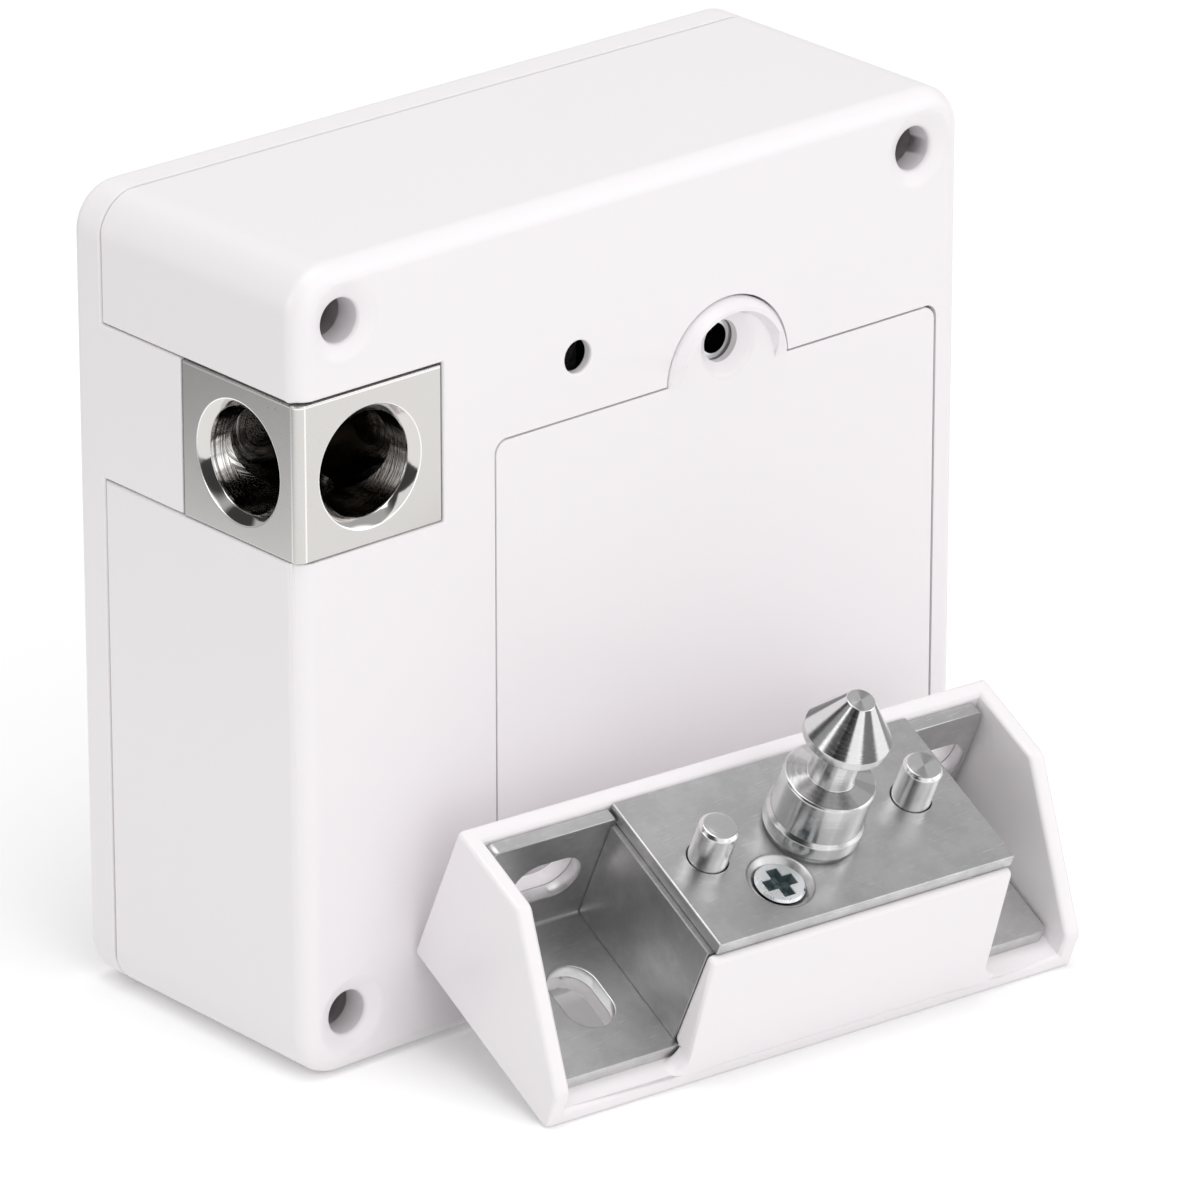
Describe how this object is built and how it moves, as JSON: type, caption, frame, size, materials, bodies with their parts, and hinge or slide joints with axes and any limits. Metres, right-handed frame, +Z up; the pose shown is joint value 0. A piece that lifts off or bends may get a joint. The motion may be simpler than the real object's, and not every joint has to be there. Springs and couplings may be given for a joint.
{
  "type": "electronic cabinet lock",
  "caption": "Hidden electronic cabinet lock: a white box with a metal block of two crossing ports and a battery cover, and a leaning striker with a pointed stud and sprung pins",
  "frame": {"origin": "centre of the face that the lock stands on", "axes": "X along the width, Y from the front face to the back, Z up"},
  "size_m": [0.077, 0.0594, 0.0754],
  "materials": {
    "case": "moulded white plastic, semi-gloss",
    "rear": "moulded white plastic, semi-gloss",
    "lid": "moulded white plastic, semi-gloss",
    "strike_shell": "moulded white plastic, semi-gloss",
    "nickel_block": "nickel-plated, machined bores",
    "bright_steel": "turned bright steel",
    "satin_steel": "satin zinc-plated sheet",
    "screw_steel": "zinc-plated screws",
    "brass": "machined brass",
    "motor_case": "plain steel case",
    "cell": "printed sleeve, plain",
    "spring_steel": "nickel-plated wire and sheet",
    "board": "solder-resist on laminate",
    "chip": "black moulded",
    "switch": "plain",
    "button": "black moulded",
    "plug": "natural nylon",
    "coil": "enamelled wire"
  },
  "bodies": {
    "lock": {"housing": "case", "rear_cover": "rear", "rear_screws": "screw_steel", "lock_block": "nickel_block", "block_screws": "screw_steel", "gear_motor": "motor_case", "cover_insert": "bright_steel", "battery_cell_1": "cell", "battery_cell_2": "cell", "battery_cell_3": "cell", "battery_cell_4": "cell", "contact_plates": "spring_steel", "contact_springs": "spring_steel", "control_board": "board", "board_screws": "screw_steel", "controller_chips": "chip", "switch_board": "board", "set_switch": "switch", "buzzer": "chip", "board_header": "plug", "antenna_coil": "coil", "strike_cover": "strike_shell", "strike_bracket": "satin_steel", "bracket_screws": "screw_steel", "strike_block": "satin_steel", "strike_plate": "satin_steel", "plate_screw": "screw_steel", "striker_stud": "bright_steel", "stud_nut": "screw_steel", "ejector_spring_left": "spring_steel", "ejector_spring_right": "spring_steel"},
    "battery_lid": {"battery_cover": "lid"},
    "bolt_slide": {"latch_slide": "bright_steel"},
    "pinion_turn": {"drive_pinion": "brass", "output_shaft": "bright_steel"},
    "switch_plunger": {"set_button": "button"},
    "pin_left": {"ejector_pin_left": "bright_steel"},
    "pin_right": {"ejector_pin_right": "bright_steel"}
  },
  "joints": [
    {"name": "cover_swing", "type": "hinge", "parent": "lock", "child": "battery_lid", "pos_m": [0.00945, -0.0154, 0.0104], "axis": [1, 0, 0], "range_deg": [0, 20]},
    {"name": "bolt_rise", "type": "slide", "parent": "lock", "child": "bolt_slide", "axis": [0, 0, 1], "range_m": [0, 0.0027]},
    {"name": "pinion_spin", "type": "hinge", "parent": "lock", "child": "pinion_turn", "pos_m": [-0.0292, 0, 0.032], "axis": [0, 1, 0], "range_deg": [-40, 0]},
    {"name": "switch_press", "type": "slide", "parent": "lock", "child": "switch_plunger", "axis": [0, 1, 0], "range_m": [0, 0.00025], "stiffness_N_per_m": 800, "springref_m": -0.0005},
    {"name": "pin_left_press", "type": "slide", "parent": "lock", "child": "pin_left", "axis": [0.0382, 0.4367, -0.8988], "range_m": [0, 0.004], "stiffness_N_per_m": 500, "springref_m": -0.004, "deforming": ["ejector_spring_left"]},
    {"name": "pin_right_press", "type": "slide", "parent": "lock", "child": "pin_right", "axis": [0.0382, 0.4367, -0.8988], "range_m": [0, 0.004], "stiffness_N_per_m": 500, "springref_m": -0.004, "deforming": ["ejector_spring_right"]}
  ],
  "couplings": [
    {"joint": "pinion_spin", "follows": "bolt_rise", "rad_per_m": -250}
  ]
}
